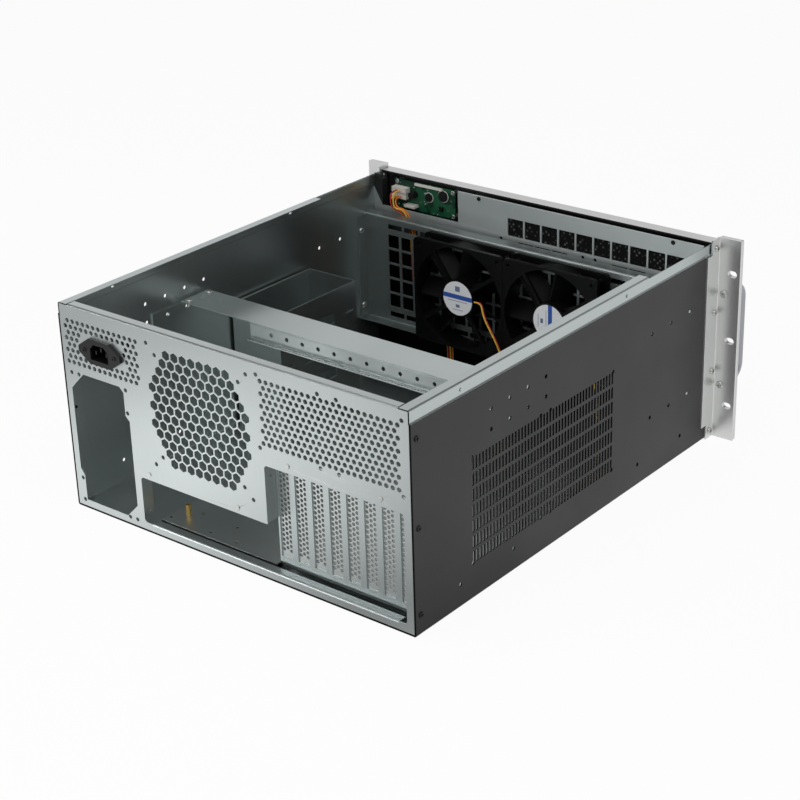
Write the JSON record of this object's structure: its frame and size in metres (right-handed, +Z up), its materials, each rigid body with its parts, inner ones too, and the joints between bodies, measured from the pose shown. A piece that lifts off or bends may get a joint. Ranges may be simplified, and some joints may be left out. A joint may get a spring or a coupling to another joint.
{
  "type": "empty rackmount server case",
  "caption": "Tall empty rackmount server case without its top cover, seen with bulkhead fans, card hold-down bar, slotted rear and handles.",
  "frame": {"origin": "middle of the underside of the case's bounding box", "axes": "+Z up, -Y towards the front plate and its handles, +X to the right seen from the front"},
  "size_m": [0.4826, 0.546, 0.221],
  "materials": {
    "black_paint": "satin",
    "zinc": "satin",
    "silver_plate": "satin",
    "bright_zinc": "semi-gloss",
    "screw_steel": "gloss",
    "dark_screw": "satin",
    "handle_grey": "satin",
    "brass": "satin",
    "black_plastic": "matte",
    "fan_plastic": "satin",
    "label": "satin",
    "filter_mesh": "matte",
    "circuit_board": "satin",
    "connector_white": "matte",
    "display_glass": "gloss",
    "button_silver": "satin",
    "wire_cover": "satin",
    "light_lens": "gloss"
  },
  "bodies": {
    "case": {"chassis": "black_paint", "rear_panel": "zinc", "rivets": "screw_steel", "slot_frame": "zinc", "slot_cover_1": "bright_zinc", "slot_cover_2": "bright_zinc", "slot_cover_3": "bright_zinc", "slot_cover_4": "bright_zinc", "slot_cover_5": "bright_zinc", "slot_cover_6": "bright_zinc", "slot_cover_7": "bright_zinc", "slot_cover_8": "bright_zinc", "slot_cover_screws": "screw_steel", "power_inlet": "black_plastic", "inlet_pins": "screw_steel", "inlet_fixings": "dark_screw", "motherboard_tray": "bright_zinc", "standoff": "brass", "hold_down_bar": "zinc", "bar_hooks": "zinc", "bar_bracket_left": "zinc", "bar_bracket_right": "zinc", "bar_screws": "screw_steel", "drive_cage": "zinc", "fan_wall": "zinc", "panel_screws": "screw_steel", "rear_screws": "dark_screw", "fan_frame_1": "fan_plastic", "fan_frame_2": "fan_plastic", "fan_label_1": "label", "fan_label_2": "label", "fan_screws": "dark_screw", "front_subpanel": "zinc", "dust_filter": "filter_mesh", "front_plate": "silver_plate", "ear_bracket_left": "zinc", "ear_bracket_right": "zinc", "ear_screws": "screw_steel", "handle_left": "handle_grey", "handle_right": "handle_grey", "handle_screws": "screw_steel", "display_window": "display_glass", "display_module": "black_plastic", "display_board": "circuit_board", "board_pillars": "button_silver", "display_screws": "screw_steel", "display_bracket": "black_paint", "board_connectors": "connector_white", "board_parts": "black_plastic", "button_board": "circuit_board", "button_switches": "black_plastic", "status_lights": "light_lens", "display_wires": "wire_cover", "fan_lead_1": "wire_cover", "fan_lead_2": "wire_cover", "lead_plugs": "black_plastic"},
    "rotor_1": {"impeller_1": "fan_plastic"},
    "rotor_2": {"impeller_2": "fan_plastic"},
    "power_key": {"power_button": "button_silver"},
    "reset_key": {"reset_button": "button_silver"}
  },
  "joints": [
    {"name": "fan_1_spin", "type": "hinge", "parent": "case", "child": "rotor_1", "pos_m": [0.0645, -0.176, 0.1132], "axis": [0, 1, 0], "continuous": true},
    {"name": "fan_2_spin", "type": "hinge", "parent": "case", "child": "rotor_2", "pos_m": [-0.0555, -0.176, 0.1132], "axis": [0, 1, 0], "continuous": true},
    {"name": "power_press", "type": "slide", "parent": "case", "child": "power_key", "axis": [0, 1, 0], "range_m": [0, 0.002], "stiffness_N_per_m": 400, "springref_m": -0.001},
    {"name": "reset_press", "type": "slide", "parent": "case", "child": "reset_key", "axis": [0, 1, 0], "range_m": [0, 0.002], "stiffness_N_per_m": 400, "springref_m": -0.001}
  ]
}
